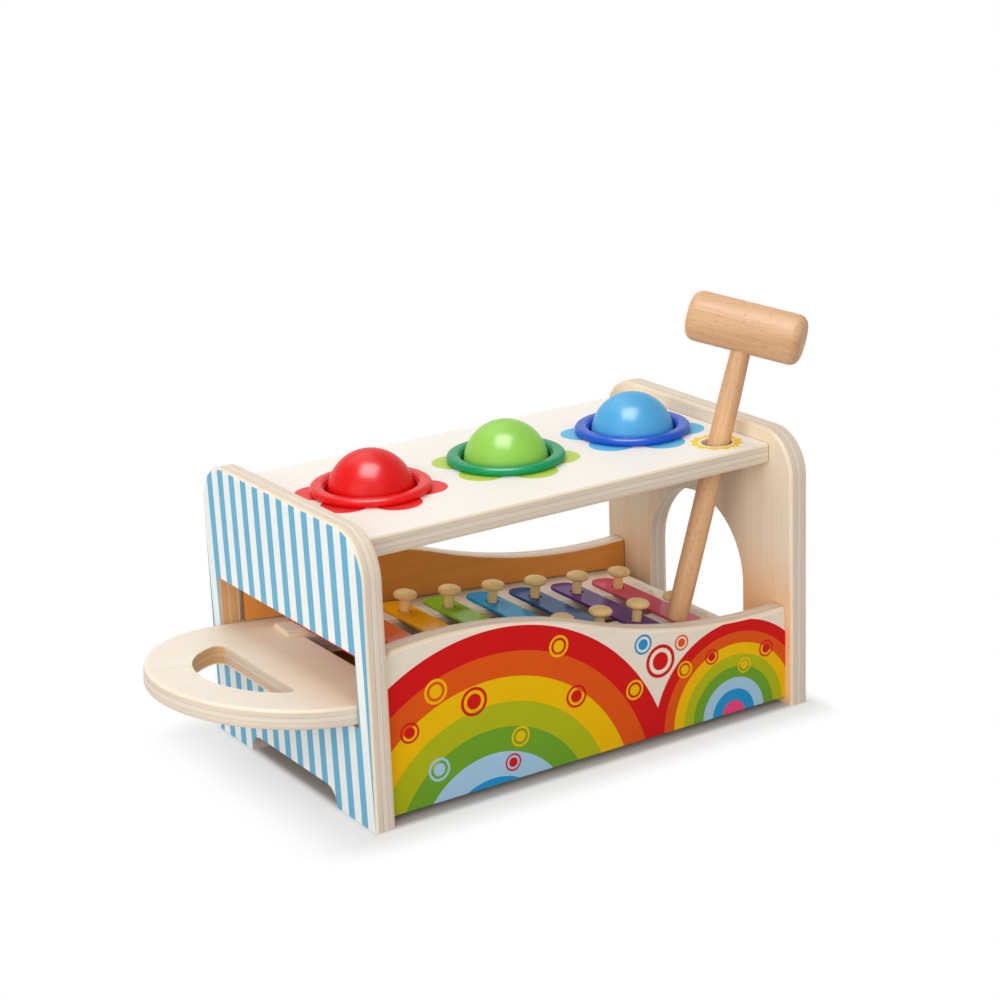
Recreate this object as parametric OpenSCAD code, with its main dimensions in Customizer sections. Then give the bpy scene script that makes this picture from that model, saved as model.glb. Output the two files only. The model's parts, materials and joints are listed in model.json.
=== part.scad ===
// Ball pounding xylophone: a wooden bench with three balls held in elastic rings,
// a slide-out xylophone on a sloping tray below them, and a hammer standing in the bench.
// Millimetres, +Z up, +X from the tray's handle to the ball exit, -Y is the front.
// The origin lies under the middle of the whole toy, hammer and tray handle included.

/* [Housing] */
// length over both end panels
body_length = 274.5; // [250:0.5:310]
// front to back width of the end panels
panel_width = 169.6; // [160:0.2:185]
// height of the end panels
panel_height = 154; // [146:1:170]
// thickness of the end panels
panel_thickness = 11.5; // [9.5:0.5:14]
// radius of the end panels' upper corners
panel_corner = 24; // [8:1:34]
// clear width between the two feet of an end panel
foot_gap = 92; // [60:1:120]
// height of the cut-out between the feet
foot_height = 10; // [6:0.5:14]
// radius of the softened edges of panels, board and tray
edge_round = 2; // [0.5:0.25:3]

/* [Top board] */
// height of the board's top face
board_top = 146; // [140:1:154]
// thickness of the board
board_thickness = 11; // [9:0.5:14]
// front to back width of the board
board_width = 133.2; // [118:0.2:150]
// first ball's middle to the slot end of the board
ball_margin_slot = 43.8; // [38:0.2:48]
// last ball's middle to the exit end of the board
ball_margin_exit = 41.8; // [38:0.2:46]
// diameter of the hole that the hammer stands in
hammer_hole = 17; // [16:0.5:20]
// hammer hole centre to the exit end of the board
hammer_hole_inset = 19.8; // [15:0.2:24]
// hammer hole centre to the front edge of the board
hammer_hole_setback = 20.1; // [14:0.1:26]

/* [Side panels] */
// thickness of the front and back panels
side_thickness = 11.6; // [10:0.2:14]
// how far the side panels stand inside the end panels' edges
side_setback = 4.8; // [2:0.2:8]
// height of the side panels' lower edge
side_bottom = 4.4; // [2:0.2:12]
// lowest height of the wavy upper edge
wave_low = 56.4; // [54:0.2:62]
// where the wave turns from hump to hollow
wave_mid = -1.4; // [-20:0.2:20]
// radius of the hollow of the wave
wave_hollow = 326; // [280:2:380]
// radius of the hump of the wave
wave_hump = 263; // [220:1:320]
// steepest angle of the wave
wave_angle = 20.2; // [17:0.1:23]
// depth of the groove that carries the tray
groove_depth = 4.4; // [3:0.2:6]

/* [Openings in the end panels] */
// height of the lower edge of the tray slot
slot_bottom = 52.2; // [48:0.2:52.4]
// height of the upper edge of the tray slot
slot_top = 90.8; // [86:0.2:100]
// width of the ball exit arch
arch_width = 86.8; // [64:0.2:92]
// height of the arch's sill
arch_sill = 26; // [22:0.5:30]
// height of the arch's crown
arch_crown = 103.4; // [98:0.2:120]

/* [Tray] */
// height of the tray's upper face where it leaves the housing
tray_entry = 64.4; // [64:0.2:66]
// downward slope of the tray towards the exit
tray_slope = 5.7; // [4:0.1:6]
// thickness of the tray
tray_thickness = 10.4; // [8:0.2:10.6]
// tray's inner end to the inner face of the exit panel
tray_end_gap = 7.5; // [5:0.5:16]
// length of the straight side of the grip hole
grip_length = 85; // [60:1:90]
// depth of the grip hole
grip_depth = 33.4; // [22:0.2:36]
// straight side of the grip hole to the housing
grip_inset = 15; // [12:0.2:20]
// corner radius of the grip hole
grip_corner = 5; // [2:0.5:8]

/* [Xylophone] */
// number of bars
bar_count = 8; // [8:1:8]
// width of a bar
bar_width = 17; // [14:0.5:20]
// thickness of a bar
bar_thickness = 1.7; // [1.4:0.1:3]
// corner radius of a bar's ends
bar_corner = 7; // [3:0.5:7]
// end of the longest bar to the side panel beside it
bar_side_gap = 5.8; // [3:0.2:8]
// how much shorter the shortest bar is than the longest
bar_taper = 36; // [24:1:38]
// first bar's middle to the outer face of the slot panel
first_bar = 40.2; // [34:0.2:42]
// last bar's middle to the inner end of the tray
last_bar = 28.6; // [26:0.1:34]
// peg to the end of its bar
peg_inset = 18.5; // [15:0.5:19]
// width of a rail under the bars
rail_width = 20; // [16:0.5:24]
// thickness of a rail
rail_thickness = 2; // [1.6:0.2:4]
// width of the felt strip on a rail
felt_width = 16; // [12:0.5:16]
// thickness of the felt strip
felt_thickness = 0.8; // [0.6:0.1:1.6]
// rail's end beyond the middle of the outermost bars
rail_overhang = 18.6; // [12:0.2:20]
// rail's inner side to the sound opening in the tray
rail_lip = 0.6; // [0.3:0.1:3]
// sound opening's end beyond the middle of the outermost bars
sound_overhang = 11; // [6:0.5:12]

/* [Pegs] */
// diameter of a peg's stem
stem_diameter = 5.5; // [4.5:0.1:6.5]
// diameter of a peg's head
peg_head = 13; // [11:0.2:14]
// height of a peg's head
peg_head_height = 5; // [4.4:0.1:6]
// rim radius of a peg's head
peg_rim = 1.9; // [1:0.1:2]
// bar's upper face to the underside of a peg's head
peg_lift = 7.2; // [3:0.2:8]
// depth of a peg's seat in the tray
peg_seat = 6.5; // [5:0.1:7]
// diameter of the holes in the bars
bar_hole = 7.4; // [6.8:0.1:8.4]

/* [Balls and rings] */
// diameter of a ball
ball_diameter = 45; // [44.6:0.1:46]
// ball's middle below the board's top face
ball_sink = 0.5; // [-1:0.1:1.5]
// outer diameter of a ring's lip
ring_lip = 63.4; // [62:0.2:70]
// height of a ring's lip
ring_lip_height = 4.6; // [4:0.2:6.4]
// inner diameter of a ring's lip
ring_mouth = 49.4; // [48.8:0.1:50.4]
// diameter of the holes in the board that the rings snap into
ring_seat = 54; // [53:0.2:56]
// inner diameter of a ring's neck
ring_neck = 48.4; // [48:0.1:49]
// outer diameter of the flange under the board
ring_flange = 59; // [58:0.5:64]
// thickness of the flange under the board
ring_flange_thickness = 2.6; // [2:0.1:3.4]
// radius of the bead that a ball rests on
ring_bead = 2.5; // [2:0.1:2.8]
// bead's middle below the board's top face
ring_bead_depth = 9; // [7:0.2:10]

/* [Hammer] */
// diameter of the hammer's head
head_diameter = 27.5; // [24:0.5:32]
// length of the hammer's head
head_length = 63; // [54:1:72]
// edge radius of the hammer's head
head_round = 5.5; // [2:0.5:8]
// diameter of the handle
handle_diameter = 12; // [11:0.2:12.6]
// diameter of the handle where it enters the head
handle_neck = 10.8; // [9.6:0.2:10.8]
// length of the taper below the head
neck_length = 24; // [14:1:30]
// edge radius of the handle's free end
handle_round = 2.5; // [1:0.1:3]
// depth of the handle's seat past the middle of the head
handle_seat = 4; // [1:0.5:6]
// lean of the standing hammer
hammer_lean = 15.4; // [12:0.1:16.4]
// direction of the lean, turned from +X
hammer_way = -12; // [-20:1:0]
// turn of the head about the handle
head_turn = -38; // [-60:1:0]
// middle of the head above the middle of the hammer hole, along the handle
head_rise = 69; // [60:0.5:80]

/* [Dowels] */
// diameter of the wooden dowels
dowel_diameter = 6; // [5:0.5:6.5]
// depth of a dowel in an end panel
dowel_in_panel = 8; // [6:0.5:8]
// depth of a dowel in a board or side panel
dowel_in_board = 10; // [8:0.5:10.4]
// spacing of the dowels along the top board's ends
board_dowel_pitch = 28; // [20:1:30]
// height of the lower side panel dowels
dowel_low = 15; // [12:0.5:18]
// height of the upper side panel dowels at the slot end
dowel_high_slot = 38; // [32:0.5:40]
// height of the upper side panel dowels at the exit end
dowel_high_exit = 47.5; // [46:0.5:48]

/* [Clearances] */
// play of the tray in its grooves, below it, beside it and at their blind ends
tray_play = 0.4; // [0.3:0.05:0.8]
// room above the tray in its grooves
tray_headroom = 1.2; // [0.5:0.1:1.6]
// play of the tray at each side of its slot
slot_play = 0.7; // [0.4:0.05:1.2]
// room between a ball and the bead of its ring
ball_room = 0.3; // [0.2:0.05:0.5]
// room between the hammer's tip and the bar under it
tip_room = 0.3; // [0.2:0.05:0.6]
// room at the blind end of a dowel or handle bore
bore_room = 0.5; // [0.3:0.1:0.8]

/* [Hidden] */
$fn = 96;
// a hair past a face, so that a cut leaves no skin
past = 1;
// half sizes and inner faces of the housing
half_length = body_length / 2;
inner_end = half_length - panel_thickness;
side_outer = panel_width / 2 - side_setback;
side_inner = side_outer - side_thickness;
side_middle = side_outer - side_thickness / 2;
board_middle = board_top - board_thickness / 2;
// tray width follows the grooves, slot width follows the tray
tray_half = side_inner + groove_depth - tray_play;
slot_half = tray_half + slot_play;
// the handle end is half round, so it stands out by half the tray's width
handle_reach = tray_half;
// lengths along the tray's slope, from the outer face of the slot panel
tray_inside = (body_length - panel_thickness - tray_end_gap) / cos(tray_slope);
bar_pitch = (tray_inside - first_bar - last_bar) / (bar_count - 1);
// balls stand evenly between the board's ends
ball_pitch = (2 * inner_end - ball_margin_slot - ball_margin_exit) / 2;
// heights above the tray's upper face
felt_top = rail_thickness + felt_thickness;
bar_top = felt_top + bar_thickness;
// bars shorten evenly, and their pegs and rails draw in with them
longest_bar = 2 * (side_inner - bar_side_gap);
bar_step = bar_taper / (bar_count - 1);
rail_angle = atan(bar_step / 2 / bar_pitch);
// hammer hole and the handle's direction
hole_x = inner_end - hammer_hole_inset;
hole_y = hammer_hole_setback - board_width / 2;
lean_dir = [sin(hammer_lean) * cos(hammer_way), sin(hammer_lean) * sin(hammer_way), cos(hammer_lean)];
// upward normal of the bars' upper faces, and a point on them
bar_normal = [sin(tray_slope), 0, cos(tray_slope)];
bar_point = [-half_length + bar_top * sin(tray_slope), 0, tray_entry + bar_top * cos(tray_slope)];
// length of handle below the hole's middle that leaves the tip just above the bars
tip_cos = lean_dir * bar_normal;
tip_drop = ([hole_x, hole_y, board_middle] - bar_point) * bar_normal;
tip_side = (handle_diameter / 2 - handle_round) * sqrt(1 - tip_cos * tip_cos);
handle_below = handle_round + (tip_drop - tip_room - handle_round - tip_side) / tip_cos;
// extent of the hammer head along X, a cylinder with round edges
head_x = hole_x + head_rise * lean_dir[0];
head_axis_x = cos(head_turn) * cos(hammer_lean) * cos(hammer_way) - sin(head_turn) * sin(hammer_way);
head_along = (head_length / 2 - head_round) * abs(head_axis_x);
head_across = (head_diameter / 2 - head_round) * sqrt(1 - head_axis_x * head_axis_x);
head_far = head_x + head_along + head_across + head_round;
// the origin stands under the middle of the overall length
near_along = (handle_reach - edge_round) * cos(tray_slope);
near_below = (tray_thickness - edge_round) * sin(tray_slope);
near_end = -half_length - near_along - near_below - edge_round;
far_end = max(half_length, head_far);
origin_x = (near_end + far_end) / 2;

// middle of ball number i, counted from the tray's handle
function ball_x(i) = ball_margin_slot - inner_end + i * ball_pitch;
// place along the tray of bar number i, counted from the tray's handle
function bar_u(i) = first_bar + i * bar_pitch;
// peg's distance from the middle line on bar number i
function peg_v(i) = bar_length(i) / 2 - peg_inset;
// length of bar number i
function bar_length(i) = longest_bar - i * bar_step;

// moves housing coordinates to the toy's own origin
module placed() {
    translate([-origin_x, 0, 0]) children();
}

// the tray's own frame: X down the slope from the slot panel's outer face, Z off its upper face
module on_tray() {
    translate([-half_length, 0, tray_entry]) rotate([0, tray_slope, 0]) children();
}

// stands a flat outline in the YZ plane, with its thickness along X from x
module upright_across(x, thickness) {
    translate([x, 0, 0]) rotate([90, 0, 90]) linear_extrude(height = thickness) children();
}

// stands a flat outline in the XZ plane, with its thickness along Y from y
module upright_along(y, thickness) {
    translate([0, y + thickness, 0]) rotate([90, 0, 0]) linear_extrude(height = thickness) children();
}

// rectangle about the origin with four round corners
module round_rect(length, width, radius) {
    square([length - 2 * radius, width], center = true);
    square([length, width - 2 * radius], center = true);
    for (sx = [-1, 1])
        for (sy = [-1, 1])
            translate([sx * (length / 2 - radius), sy * (width / 2 - radius)])
                circle(r = radius);
}

// section through the softened rim of a plate, its outer edge at depth
module rim_section(depth, thickness) {
    square([depth - edge_round, thickness]);
    translate([0, edge_round])
        square([depth, thickness - 2 * edge_round]);
    for (level = [edge_round, thickness - edge_round])
        translate([depth - edge_round, level])
            circle(r = edge_round);
}

// straight stretch of rim along +Y, its outer edge towards +X
module straight_rim(depth, length, thickness) {
    translate([0, length, 0])
        rotate([90, 0, 0])
            linear_extrude(height = length)
                rim_section(depth, thickness);
}

// flat plate on the XY plane, square at Y = 0 and with two round corners at its far end,
// its edges softened all round except at the square end
module soft_plate(width, length, corner, thickness) {
    half = width / 2 - corner;
    run = length - corner;
    translate([-half, 0, 0])
        cube([2 * half, run, thickness]);
    translate([half, run, 0])
        rotate([0, 0, 90])
            straight_rim(corner, 2 * half, thickness);
    for (side = [0, 1])
        mirror([side, 0, 0])
            translate([half, 0, 0]) {
                straight_rim(corner, run, thickness);
                translate([0, run, 0])
                    rotate_extrude(angle = 90)
                        rim_section(corner, thickness);
            }
}

// flat plate on the XY plane, square at Y = 0 and half round beyond Y = run,
// its edges softened all round except at the square end
module round_plate(width, run, thickness) {
    for (side = [0, 1])
        mirror([side, 0, 0])
            straight_rim(width / 2, run, thickness);
    translate([0, run, 0])
        rotate_extrude(angle = 180)
            rim_section(width / 2, thickness);
}

// gap between the two feet of an end panel, with quarter-round shoulders
module foot_outline() {
    translate([-foot_gap / 2 + foot_height, -past])
        square([foot_gap - 2 * foot_height, foot_height + past]);
    for (side = [-1, 1])
        translate([side * (foot_gap / 2 - foot_height), 0])
            circle(r = foot_height);
}

// outline of the ball exit: a round arch on straight jambs
module arch_outline() {
    radius = arch_width / 2;
    translate([-radius, arch_sill])
        square([arch_width, arch_crown - radius - arch_sill]);
    intersection() {
        translate([0, arch_crown - radius])
            circle(r = radius);
        translate([-radius, arch_crown - radius])
            square([arch_width, radius + past]);
    }
}

// outline of a side panel: its upper edge is a hump that runs smoothly into a hollow
module wave_outline() {
    mid_z = wave_low + wave_hollow * (1 - cos(wave_angle));
    crest = mid_z + wave_hump * (1 - cos(wave_angle));
    intersection() {
        translate([-inner_end, side_bottom])
            square([inner_end + wave_mid, crest - side_bottom + past]);
        translate([wave_mid - wave_hump * sin(wave_angle), mid_z - wave_hump * cos(wave_angle)])
            circle(r = wave_hump);
    }
    difference() {
        translate([wave_mid, side_bottom])
            square([inner_end - wave_mid, mid_z - side_bottom + past]);
        translate([wave_mid + wave_hollow * sin(wave_angle), wave_low + wave_hollow])
            circle(r = wave_hollow);
    }
}

// D-shaped grip hole, its straight side towards the housing, with round corners
module grip_outline() {
    bow = (grip_length * grip_length / 4 + grip_depth * grip_depth) / (2 * grip_depth);
    bow_u = -grip_inset - grip_depth + bow;
    corner_u = -grip_inset - grip_corner;
    corner_v = sqrt(pow(bow - grip_corner, 2) - pow(corner_u - bow_u, 2));
    out = [corner_u - bow_u, corner_v] / (bow - grip_corner);
    difference() {
        intersection() {
            translate([bow_u, 0])
                circle(r = bow);
            translate([-grip_inset - grip_depth - past, -grip_length])
                square([grip_depth + past, 2 * grip_length]);
        }
        for (side = [-1, 1])
            polygon([
                [corner_u, side * corner_v],
                [corner_u + out[0] * 2 * grip_corner, side * (corner_v + out[1] * 2 * grip_corner)],
                [-grip_inset + past, side * (corner_v + out[1] * 2 * grip_corner)],
                [-grip_inset + past, side * corner_v]
            ]);
    }
    for (side = [-1, 1])
        translate([corner_u, side * corner_v])
            circle(r = grip_corner);
}

// dowels of the top board, or their bores with room at the blind ends
module board_dowel_set(room) {
    reach = dowel_in_board + dowel_in_panel + 2 * room;
    for (side = [-1, 1])
        for (k = [-1, 0, 1])
            translate([side * (inner_end - dowel_in_board - room), k * board_dowel_pitch, board_middle])
                rotate([0, side * 90, 0])
                    cylinder(d = dowel_diameter, h = reach);
}

// dowels of both side panels, or their bores with room at the blind ends
module panel_dowel_set(room) {
    reach = dowel_in_board + dowel_in_panel + 2 * room;
    for (side = [-1, 1])
        for (wall = [-1, 1])
            for (z = [dowel_low, side < 0 ? dowel_high_slot : dowel_high_exit])
                translate([side * (inner_end - dowel_in_board - room), wall * side_middle, z])
                    rotate([0, side * 90, 0])
                        cylinder(d = dowel_diameter, h = reach);
}

// the space that the tray runs in, cut into both side panels and blind where the tray stops
module tray_way() {
    on_tray()
        translate([-past, -side_inner - groove_depth, -tray_thickness - tray_play])
            cube([
                tray_inside + tray_play + past, 2 * (side_inner + groove_depth),
                tray_thickness + tray_play + tray_headroom
            ]);
}

// end panel on two feet, bored for dowels, less the opening given
module end_panel(x) {
    difference() {
        translate([x, 0, 0])
            rotate([90, 0, 90])
                soft_plate(panel_width, panel_height, panel_corner, panel_thickness);
        upright_across(x - past, panel_thickness + 2 * past) {
            foot_outline();
            children();
        }
        board_dowel_set(bore_room);
        panel_dowel_set(bore_room);
    }
}

// end panel on the handle side, with the wide slot for the xylophone
module left_end_panel() {
    color("BurlyWood") placed() end_panel(-half_length)
        translate([-slot_half, slot_bottom])
            square([2 * slot_half, slot_top - slot_bottom]);
}

// end panel on the exit side, with the arch that the balls roll out of
module right_end_panel() {
    color("BurlyWood") placed() end_panel(inner_end) arch_outline();
}

// board with three ring seats and the hammer hole
module top_board() {
    color("Wheat") placed() difference() {
        translate([0, 0, board_middle])
            upright_across(-inner_end, 2 * inner_end)
                round_rect(board_width, board_thickness, edge_round);
        for (i = [0:2])
            translate([ball_x(i), 0, board_top - board_thickness - past])
                cylinder(d = ring_seat, h = board_thickness + 2 * past);
        translate([hole_x, hole_y, board_top - board_thickness - past])
            cylinder(d = hammer_hole, h = board_thickness + 2 * past);
        board_dowel_set(bore_room);
    }
}

// printed front panel with its wavy upper edge and the tray groove behind
module front_panel() {
    color("NavajoWhite") placed() difference() {
        upright_along(-side_outer, side_thickness)
            wave_outline();
        tray_way();
        panel_dowel_set(bore_room);
    }
}

// back panel with its wavy upper edge and the tray groove in front
module back_panel() {
    color("NavajoWhite") placed() difference() {
        upright_along(side_inner, side_thickness)
            wave_outline();
        tray_way();
        panel_dowel_set(bore_room);
    }
}

// wooden dowels between the top board and the end panels
module board_dowels() {
    color("Tan") placed() board_dowel_set(0);
}

// wooden dowels between the side panels and the end panels
module panel_dowels() {
    color("Tan") placed() panel_dowel_set(0);
}

// elastic ring: lip on the board, neck through it, flange below and a bead under the ball
module ring() {
    round = ring_lip_height / 2;
    flange_round = ring_flange_thickness / 2;
    bead_room = ball_diameter / 2 + ball_room + ring_bead;
    bead_fall = ring_bead_depth - ball_sink;
    bead_r = sqrt(bead_room * bead_room - bead_fall * bead_fall);
    rotate_extrude() difference() {
        union() {
            translate([ring_mouth / 2 + round, 0])
                square([(ring_lip - ring_mouth) / 2 - 2 * round, ring_lip_height]);
            translate([ring_mouth / 2 + round, round])
                circle(r = round);
            translate([ring_lip / 2 - round, round])
                circle(r = round);
            translate([ring_neck / 2, -board_thickness - ring_flange_thickness])
                square([(ring_seat - ring_neck) / 2, board_thickness + ring_flange_thickness + round]);
            translate([ring_seat / 2 - past, -board_thickness - ring_flange_thickness])
                square([(ring_flange - ring_seat) / 2 - flange_round + past, ring_flange_thickness]);
            translate([ring_flange / 2 - flange_round, -board_thickness - flange_round])
                circle(r = flange_round);
            translate([bead_r, -ring_bead_depth])
                circle(r = ring_bead);
        }
        // the seat in the board stays clear outside the neck
        translate([ring_seat / 2, -board_thickness])
            square([ring_lip, board_thickness]);
    }
}

module red_ring() {
    color("Red") placed() translate([ball_x(0), 0, board_top]) ring();
}

module green_ring() {
    color("Green") placed() translate([ball_x(1), 0, board_top]) ring();
}

module blue_ring() {
    color("Blue") placed() translate([ball_x(2), 0, board_top]) ring();
}

// painted wooden ball, sunk to about its middle
module ball(i) {
    placed() translate([ball_x(i), 0, board_top - ball_sink]) sphere(d = ball_diameter);
}

module red_ball() {
    color("Crimson") ball(0);
}

module green_ball() {
    color("YellowGreen") ball(1);
}

module blue_ball() {
    color("DodgerBlue") ball(2);
}

// stems of all pegs below the bars, for the seats in rails and tray
module peg_seats() {
    for (i = [0:bar_count - 1])
        for (side = [-1, 1])
            translate([bar_u(i), side * peg_v(i), -peg_seat])
                cylinder(d = stem_diameter, h = peg_seat + felt_top + past);
}

// opening in the tray between the rails, that lets the bars sound
module sound_outline() {
    last = bar_count - 1;
    near = bar_u(0) - sound_overhang;
    far = bar_u(last) + sound_overhang;
    drawn_in = sound_overhang * tan(rail_angle);
    wide = peg_v(0) + drawn_in - rail_width / 2 - rail_lip;
    narrow = peg_v(last) - drawn_in - rail_width / 2 - rail_lip;
    polygon([[near, -wide], [far, -narrow], [far, narrow], [near, wide]]);
}

// sloping board that carries the bars and ends in the round handle
module tray() {
    color("Wheat") placed() on_tray() difference() {
        translate([tray_inside, 0, -tray_thickness])
            rotate([0, 0, 90])
                round_plate(2 * tray_half, tray_inside, tray_thickness);
        translate([0, 0, -tray_thickness - past])
            linear_extrude(height = tray_thickness + 2 * past) {
                grip_outline();
                sound_outline();
            }
        peg_seats();
    }
}

// strip under one row of pegs, drawn in towards the short bars
module strip(side, width, low, thickness) {
    run = ((bar_count - 1) * bar_pitch + 2 * rail_overhang) / cos(rail_angle);
    middle = (bar_count - 1) / 2;
    difference() {
        translate([bar_u(middle), side * peg_v(middle), low + thickness / 2])
            rotate([0, 0, -side * rail_angle])
                cube([run, width, thickness], center = true);
        peg_seats();
    }
}

module back_rail() {
    color("Linen") placed() on_tray() strip(1, rail_width, 0, rail_thickness);
}

module front_rail() {
    color("Linen") placed() on_tray() strip(-1, rail_width, 0, rail_thickness);
}

module back_felt() {
    color("Snow") placed() on_tray() strip(1, felt_width, rail_thickness, felt_thickness);
}

module front_felt() {
    color("Snow") placed() on_tray() strip(-1, felt_width, rail_thickness, felt_thickness);
}

// tuned metal bar with round ends and two peg holes
module bar(i) {
    placed() on_tray() translate([bar_u(i), 0, felt_top])
        linear_extrude(height = bar_thickness) difference() {
            round_rect(bar_width, bar_length(i), bar_corner);
            for (side = [-1, 1])
                translate([0, side * peg_v(i)])
                    circle(d = bar_hole);
        }
}

module red_bar() {
    color("Red") bar(0);
}

module orange_bar() {
    color("OrangeRed") bar(1);
}

module yellow_bar() {
    color("Gold") bar(2);
}

module green_bar() {
    color("LimeGreen") bar(3);
}

module light_blue_bar() {
    color("DeepSkyBlue") bar(4);
}

module dark_blue_bar() {
    color("MidnightBlue") bar(5);
}

module purple_bar() {
    color("Purple") bar(6);
}

module pink_bar() {
    color("HotPink") bar(7);
}

// mushroom peg: a stem and a domed head with a round rim
module peg() {
    under = bar_top + peg_lift;
    rim_r = peg_head / 2 - peg_rim;
    rise = peg_head_height - peg_rim;
    dome = (rim_r * rim_r + rise * rise - peg_rim * peg_rim) / (2 * (peg_head_height - 2 * peg_rim));
    touch = dome * rim_r / (dome - peg_rim);
    rotate_extrude() {
        translate([0, -peg_seat])
            square([stem_diameter / 2, under + peg_seat + peg_rim]);
        translate([0, under])
            square([rim_r, peg_rim]);
        translate([rim_r, under + peg_rim])
            circle(r = peg_rim);
        intersection() {
            translate([0, under + peg_head_height - dome])
                circle(r = dome);
            translate([0, under + peg_rim])
                square([touch, peg_head_height]);
        }
    }
}

// the sixteen pegs that hold the bars
module bar_pegs() {
    color("Bisque") placed() on_tray()
        for (i = [0:bar_count - 1])
            for (side = [-1, 1])
                translate([bar_u(i), side * peg_v(i), 0])
                    peg();
}

// the hammer's own frame: Z along the handle, from the middle of the hammer hole
module on_hammer() {
    translate([hole_x, hole_y, board_middle])
        rotate([0, hammer_lean, hammer_way])
            children();
}

// outline of the handle from its axis: round tip, plain shaft, taper, neck
module handle_outline() {
    radius = handle_diameter / 2;
    neck_r = handle_neck / 2;
    top = head_rise + handle_seat;
    shoulder = head_rise - head_diameter / 2;
    translate([0, -handle_below])
        square([radius - handle_round, handle_round]);
    translate([radius - handle_round, handle_round - handle_below])
        circle(r = handle_round);
    translate([0, handle_round - handle_below])
        square([radius, shoulder - neck_length + handle_below - handle_round]);
    polygon([
        [0, shoulder - neck_length], [radius, shoulder - neck_length],
        [neck_r, shoulder], [neck_r, top], [0, top]
    ]);
}

// turned head with round edges and a blind bore for the handle
module hammer_head() {
    reach = head_length / 2;
    radius = head_diameter / 2;
    color("Peru") placed() on_hammer() difference() {
        translate([0, 0, head_rise])
            rotate([0, 0, head_turn])
                rotate([0, 90, 0])
                    rotate_extrude() {
                        translate([0, -reach])
                            square([radius - head_round, head_length]);
                        translate([0, head_round - reach])
                            square([radius, head_length - 2 * head_round]);
                        for (side = [-1, 1])
                            translate([radius - head_round, side * (reach - head_round)])
                                circle(r = head_round);
                    }
        translate([0, 0, head_rise - head_diameter])
            cylinder(d = handle_neck, h = head_diameter + handle_seat + bore_room);
    }
}

// handle that stands through the board and ends just above the bars
module hammer_handle() {
    color("SandyBrown") placed() on_hammer() rotate_extrude() handle_outline();
}

left_end_panel();
right_end_panel();
top_board();
front_panel();
back_panel();
board_dowels();
panel_dowels();
red_ring();
green_ring();
blue_ring();
red_ball();
green_ball();
blue_ball();
tray();
back_rail();
front_rail();
back_felt();
front_felt();
red_bar();
orange_bar();
yellow_bar();
green_bar();
light_blue_bar();
dark_blue_bar();
purple_bar();
pink_bar();
bar_pegs();
hammer_head();
hammer_handle();
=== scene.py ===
"""Looks of the ball pounding xylophone: wood, prints, paint, soft edges, light and camera."""
import json
import math

import bmesh
import bpy
from mathutils import Matrix, Vector


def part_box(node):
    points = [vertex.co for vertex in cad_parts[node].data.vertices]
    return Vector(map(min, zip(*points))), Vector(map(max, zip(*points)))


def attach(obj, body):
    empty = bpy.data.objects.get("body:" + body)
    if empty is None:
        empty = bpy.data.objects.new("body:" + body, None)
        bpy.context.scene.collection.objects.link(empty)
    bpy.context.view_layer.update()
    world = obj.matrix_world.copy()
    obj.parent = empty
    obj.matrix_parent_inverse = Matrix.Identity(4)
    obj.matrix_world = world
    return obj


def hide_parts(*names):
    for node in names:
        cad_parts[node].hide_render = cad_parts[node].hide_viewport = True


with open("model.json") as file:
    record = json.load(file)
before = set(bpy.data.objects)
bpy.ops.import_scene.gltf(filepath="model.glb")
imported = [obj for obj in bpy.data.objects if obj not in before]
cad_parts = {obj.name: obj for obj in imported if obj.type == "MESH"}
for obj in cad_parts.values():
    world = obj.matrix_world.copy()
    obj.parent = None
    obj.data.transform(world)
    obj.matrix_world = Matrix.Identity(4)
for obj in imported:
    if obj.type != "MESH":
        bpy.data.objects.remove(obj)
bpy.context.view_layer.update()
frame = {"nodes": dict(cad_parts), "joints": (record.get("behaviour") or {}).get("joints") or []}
nodes = frame["nodes"]
joints = {j["name"]: j for j in frame["joints"]}

MM = 0.001
WHITE = (1, 1, 1, 1)
# the colour sockets of a mix node: its two inputs and its output
MIX_FIRST, MIX_SECOND, MIX_RESULT = 6, 7, 2


def box_mm(node):
    """Lowest and highest corner of a CAD node, in millimetres."""
    low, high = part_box(node)
    return low / MM, high / MM


def linear(red, green, blue):
    """A colour written in 0 to 255 screen values, as the shader wants it."""
    def channel(value):
        value /= 255
        return value / 12.92 if value <= 0.04045 else ((value + 0.055) / 1.055) ** 2.4
    return (channel(red), channel(green), channel(blue), 1.0)


def dress(node, material):
    """Gives a kept CAD node its material."""
    slots = nodes[node].data.materials
    slots.clear()
    slots.append(material)


# Node graphs

class Wire:
    """An output of a node, with plain arithmetic."""

    def __init__(self, graph, socket):
        self.graph = graph
        self.socket = socket

    def __add__(self, other):
        return self.graph.math("ADD", self, other)

    def __radd__(self, other):
        return self.graph.math("ADD", other, self)

    def __sub__(self, other):
        return self.graph.math("SUBTRACT", self, other)

    def __rsub__(self, other):
        return self.graph.math("SUBTRACT", other, self)

    def __mul__(self, other):
        return self.graph.math("MULTIPLY", self, other)

    def __truediv__(self, other):
        return self.graph.math("DIVIDE", self, other)

    def absolute(self):
        return self.graph.math("ABSOLUTE", self)

    def fraction(self):
        return self.graph.math("FRACT", self)


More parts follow.
